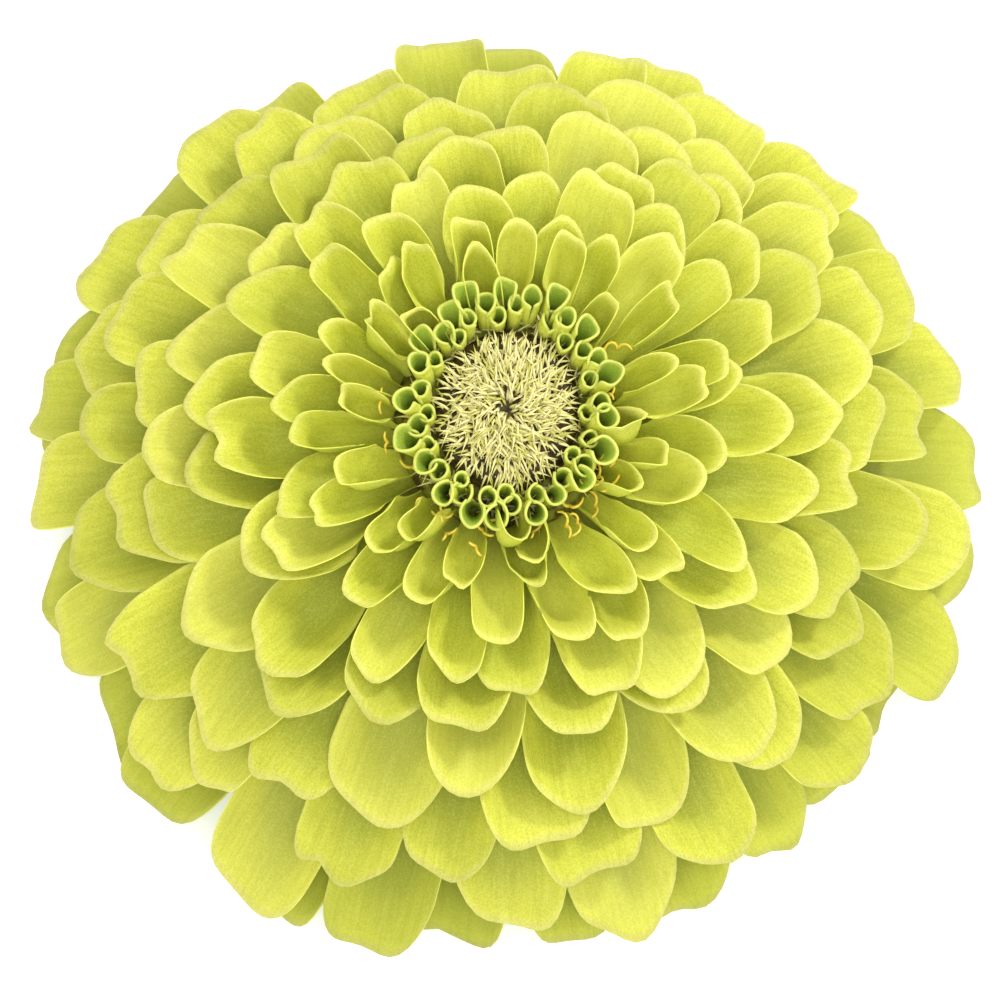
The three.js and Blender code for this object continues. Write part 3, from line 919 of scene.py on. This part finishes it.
# The mound's dark browns are painted shade for the gaps between the scales
mound_shade_paint = plain_paint("mound", linear(70, 56, 18), linear(34, 24, 8), 0.7)
mound = bmesh.new()
mound_profile = [(CHAFF_RADIUS, PLATE_TOP_Z)]
MOUND_STEPS = 8
for step in range(MOUND_STEPS + 1):
    share = 1 - step / MOUND_STEPS
    mound_profile.append((max(0.2, share * CHAFF_RADIUS), mound_z(share) - 0.5))
turned(mound, mound_profile, 48)
finish_piece(mound, "chaff_mound", "disc_chaff", [mound_shade_paint], shape=EYE_OVAL)

# %% [markdown]
# ## Stigmas
# Every ray floret bears, at its foot, a style with two curled, orange-yellow branches. They show as
# bright threads in the dark gaps at the feet of the innermost petals, most of them on the near side.
# A curve with a bevel would make them too. Here the helper of the core sweeps circles along an arc
# of a few points, so that they stay part of one mesh.

# %% Stigmas
STIGMA_COUNT = 56
STIGMA_RADIUS = 0.19
STIGMA_AT = 13
STIGMA_Z = 35.8
STIGMA_STEPS = 6
NEAR_SIDE = math.radians(-60)


def stigma_branch(number, foot, outwards, branch):
    """The points of one branch, which swings to the side that branch, -1 or 1, says."""
    points = []
    for step in range(STIGMA_STEPS + 1):
        t = step / STIGMA_STEPS
        swing = outwards + branch * (0.25 + (1.5 + 0.8 * draw(number, 76 + branch)) * t)
        reach = (1.35 + 0.5 * draw(number, 78 + branch)) * t
        rise = 0.9 * math.sin(2.2 * t) + 0.2 * t
        points.append(foot + on_circle(reach, swing, rise))
    return points


stigmas = bmesh.new()
branch_radii = [STIGMA_RADIUS * (1 - 0.35 * step / STIGMA_STEPS) for step in range(STIGMA_STEPS + 1)]
for number in range(STIGMA_COUNT):
    azimuth = number * GOLDEN_ANGLE + 0.4 * draw(number, 72)
    if math.cos(azimuth - NEAR_SIDE) < 0.9 * draw(number, 75):
        continue
    foot = on_circle(STIGMA_AT + 1.9 * draw(number, 71), azimuth, STIGMA_Z + 0.9 * draw(number, 73))
    outwards = azimuth + 1.3 * draw(number, 74)
    for branch in (-1, 1):
        sweep(stigmas, stigma_branch(number, foot, outwards, branch), branch_radii, 6)
stigma_paint = plain_paint("stigma", linear(238, 216, 88), linear(222, 190, 60), 0.6, roughness=0.5)
finish_piece(stigmas, "stigmas", "quilled_florets", [stigma_paint], shape=EYE_OVAL)

# %% [markdown]
# ## Underside
# Seen from below, blunt bracts overlap like roof tiles round the bulb. They are pale green with a
# thin dark, fringed margin. Each is a grid bent round the bulb, one golden angle after another, and
# the bulb below them is turned from a profile. The photograph doesn't show them, but the finished
# bloom is looked at from all sides.

# %% Bracts
BRACT_COUNT = 30
BRACT_WALL = 0.3
LOWEST_BRACT = {"foot": -0.12, "width": 3.8, "length": 0.38}
HIGHEST_BRACT = {"foot": 0.42, "width": 6.6, "length": 0.5}
BRACT_FRINGE = 0.012
BRACT_BLUNT = 0.3


def bulb_radius(share):
    return mix(STEM_SHOULDER, CORE_FOOT_RADIUS, math.sin(share * math.pi / 2) ** 0.8)


def bulb_z(share):
    return mix(STEM_TOP_Z, CORE_FOOT_Z, share)


bulb = bmesh.new()
bulb_shares = [0.02, 0.06, 0.12, 0.2, 0.3, 0.42, 0.55, 0.7, 0.85, 0.97]
turned(bulb, [(bulb_radius(share) - 0.1, bulb_z(share)) for share in bulb_shares], 60)
bulb_paint = plain_paint("bulb", linear(112, 128, 52), linear(84, 98, 38), 1.5)
finish_piece(bulb, "bulb", "involucre", [bulb_paint])

bracts = bmesh.new()
bract_uv = bracts.loops.layers.uv.new("blade")
for number in range(BRACT_COUNT):
    plan = between(LOWEST_BRACT, HIGHEST_BRACT, (number + 0.5) / BRACT_COUNT)
    made = bmesh.ops.create_grid(bracts, x_segments=14, y_segments=12, size=1)["verts"]
    for vert in made:
        for loop in vert.link_loops:
            loop[bract_uv].uv = ((vert.co.x + 1) / 2, (vert.co.y + 1) / 2)
    for vert in made:
        side, along = vert.co.x, (vert.co.y + 1) / 2
        fringe = BRACT_FRINGE * math.sin(23 * side + number) * smooth(0.6, 1, along)
        corner = BRACT_BLUNT * (1 - math.sqrt(1 - END_ROUNDING * side * side))
        reach = along - corner * along + fringe
        share = min(0.97, max(0.03, plan["foot"] + plan["length"] * reach))
        x = side * plan["width"] / 2 * (0.7 + 0.3 * math.sin(math.pi * 0.6 * along))
        radius = bulb_radius(share) + mix(0.1, 1.1, along) - 0.02 * x * x
        turn = number * GOLDEN_ANGLE - x / radius
        vert.co = on_circle(radius, turn, bulb_z(share))
    for face in {face for vert in made for face in vert.link_faces}:
        face.normal_flip()


# %% [markdown]
# A bract is striped along its length and has a dark margin. Both follow from its UV map, as on a
# petal.

# %% Bract paint
BRACT_DARK = linear(126, 146, 62)
BRACT_PALE = linear(160, 174, 84)
BRACT_STRIPE = linear(104, 124, 50)
BRACT_MARGIN = linear(70, 46, 26)


def bract_colours():
    material, tree, surface = new_material("bract")
    place = shader(tree, "TexCoord").outputs["Object"]
    across, along = blade_map(tree)
    at_side = fade(tree, middle_distance(tree, across), 0.84, 0.95)
    margin = calculate(tree, "MAXIMUM", at_side, fade(tree, along, 0.88, 0.96))
    wave = calculate(tree, "SINE", multiply(tree, across, 40.0))
    stripes = calculate(tree, "ABSOLUTE", wave)
    colour = blend_colours(tree, noise(tree, place, 2.0), BRACT_DARK, BRACT_PALE)
    colour = tint(tree, colour, BRACT_STRIPE, stripes, 0.3)
    colour = tint(tree, colour, BRACT_MARGIN, margin, 0.9)
    tree.links.new(colour, surface.inputs["Base Color"])
    surface.inputs["Roughness"].default_value = 0.6
    return material


finish_piece(bracts, "bracts", "involucre", [bract_colours()], wall=BRACT_WALL)

# %% [markdown]
# The cut stem is ribbed and hairy, with paler pith in the cut. The stub is a short turned form. A
# cosine round it raises the ribs, and an inset marks off the pith, so that no second mesh has to fit
# into the first.

# %% Stem, with its ribs and pith
STEM_PROFILE = [(2.75, 0), (STEM_RADIUS, 0.35), (2.85, 1.8), (3.3, 3.2), (STEM_SHOULDER, 4.6)]
RIB_COUNT = 14
RIB_HEIGHT = 0.025
BARK_WIDTH = 0.9
stem_paint = plain_paint("stem", linear(128, 156, 58), linear(98, 128, 44), 1.6)
pith_paint = plain_paint("pith", linear(206, 214, 160), linear(176, 188, 120), 0.5)
stem = bmesh.new()
stem_rings, cut = turned(stem, STEM_PROFILE, 96)
for ring in stem_rings[1:]:
    for vert in ring:
        rib = 1 + RIB_HEIGHT * math.cos(RIB_COUNT * math.atan2(vert.co.y, vert.co.x))
        vert.co.x *= rib
        vert.co.y *= rib
bmesh.ops.inset_region(stem, faces=[cut], thickness=BARK_WIDTH)
cut.material_index = 1
finish_piece(stem, "cut_stem", "stem", [stem_paint, pith_paint])

# %% [markdown]
# The hairs are short, stiff and pale. They are swept like the stigmas, each from three circles, and
# are thickest at the foot.

# %% Hairs on the stem
HAIR_COUNT = 150
HAIR_FROM_Z, HAIR_SPAN = 0.6, 3.4
HAIR_LENGTH = 0.8
HAIR_RADII = [0.05, 0.035, 0.012]
hair_paint = plain_paint("hairs", linear(206, 214, 160), linear(190, 200, 140), 1.0)
hairs = bmesh.new()
for number in range(HAIR_COUNT):
    z = HAIR_FROM_Z + HAIR_SPAN * (0.5 + 0.5 * draw(number, 81))
    out = on_circle(1, number * GOLDEN_ANGLE, 0)
    foot = out * (mix(2.8, 3.9, smooth(1.8, 4.4, z)) - 0.1) + UP * z
    tip = foot + out * (HAIR_LENGTH + 0.25 * draw(number, 82)) + UP * 0.3 * draw(number, 83)
    sweep(hairs, [foot, foot.lerp(tip, 0.5), tip], HAIR_RADII, 4)
finish_piece(hairs, "stem_hairs", "stem", [hair_paint])

# %% [markdown]
# ## Floor and lights
# The bloom lies on plain white, as for a catalogue. White paint alone would look grey where the bloom
# shades it, so the floor also glows a little.

# %% Floor
FLOOR_REACH = 3
FLOOR_GLOW = 0.45
floor_bm = bmesh.new()
bmesh.ops.create_grid(floor_bm, x_segments=1, y_segments=1, size=FLOOR_REACH)
floor_mesh = bpy.data.meshes.new("floor")
floor_bm.to_mesh(floor_mesh)
floor_bm.free()
floor = bpy.data.objects.new("floor", floor_mesh)
bpy.context.collection.objects.link(floor)
floor_paint, _, floor_surface = new_material("floor")
floor_surface.inputs["Base Color"].default_value = (0.8, 0.8, 0.8, 1)
floor_surface.inputs["Roughness"].default_value = 0.9
floor_surface.inputs["Emission Color"].default_value = (1, 1, 1, 1)
floor_surface.inputs["Emission Strength"].default_value = FLOOR_GLOW
floor_mesh.materials.append(floor_paint)
print("floor reaches", FLOOR_REACH, "m each way")

# %% [markdown]
# Large lamps alone would make the bloom look flat, and a small one alone would leave black gaps. So a
# bright even sky keeps the cups between the petals light, one small lamp from the upper right draws
# the edge of each petal's shadow on the petals below it, and a wide one in front lights the near side.

# %% Sky and lamps
SKY_STRENGTH = 1.06
LAMPS_AIM_AT = Vector((0, 0, 0.02))
world = bpy.data.worlds.new("sky")
world.use_nodes = True
sky = world.node_tree.nodes["Background"]
sky.inputs["Color"].default_value = (1, 1, 1, 1)
sky.inputs["Strength"].default_value = SKY_STRENGTH
bpy.context.scene.world = world


def add_lamp(name, place, size, power):
    data = bpy.data.lights.new(name, "AREA")
    data.shape = "DISK"
    data.size = size
    data.energy = power
    lamp = bpy.data.objects.new(name, data)
    bpy.context.collection.objects.link(lamp)
    lamp.location = place
    lamp.rotation_euler = (LAMPS_AIM_AT - Vector(place)).to_track_quat("-Z", "Y").to_euler()
    print(name, "gives", power, "W from", place)


add_lamp("key_lamp", (0.37, 0.39, 0.67), 0.14, 2.45)
add_lamp("fill_lamp", (0.05, -0.32, 0.78), 0.4, 1.7)
bpy.context.scene.view_settings.view_transform = "Standard"
